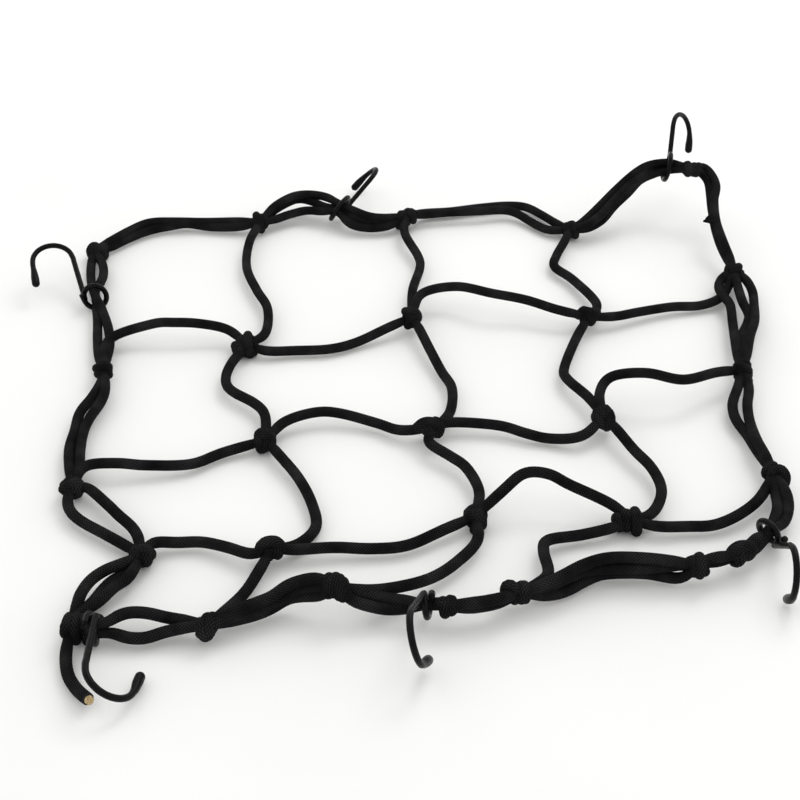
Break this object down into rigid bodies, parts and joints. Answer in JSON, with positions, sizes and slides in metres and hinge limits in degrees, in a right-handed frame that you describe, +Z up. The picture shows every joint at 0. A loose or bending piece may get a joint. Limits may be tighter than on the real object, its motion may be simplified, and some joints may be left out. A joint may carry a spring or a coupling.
{
  "type": "cargo net",
  "caption": "Elastic cargo net of knotted braided cord with coated wire hooks on its edge, lying loose and open.",
  "frame": {"origin": "on the surface that the net lies on, under the middle of the whole in plan", "axes": "+X along the near edge to the right, +Y from the near edge to the far edge, +Z up from the surface"},
  "size_m": [0.3964, 0.4311, 0.0525],
  "materials": {
    "braided_cord": "matte black braided sheath with a fine diagonal braid",
    "hook_coating": "satin black plastic-coated steel wire, its tip dipped thicker",
    "rubber_core": "pale cut rubber strands at the end of the cord"
  },
  "bodies": {
    "root": {"net": "braided_cord", "tail_core": "rubber_core", "hook_top_left": "hook_coating", "hook_top_middle": "hook_coating", "hook_top_right": "hook_coating", "hook_bottom_right": "hook_coating", "hook_bottom_middle": "hook_coating", "hook_bottom_left": "hook_coating"}
  },
  "joints": []
}
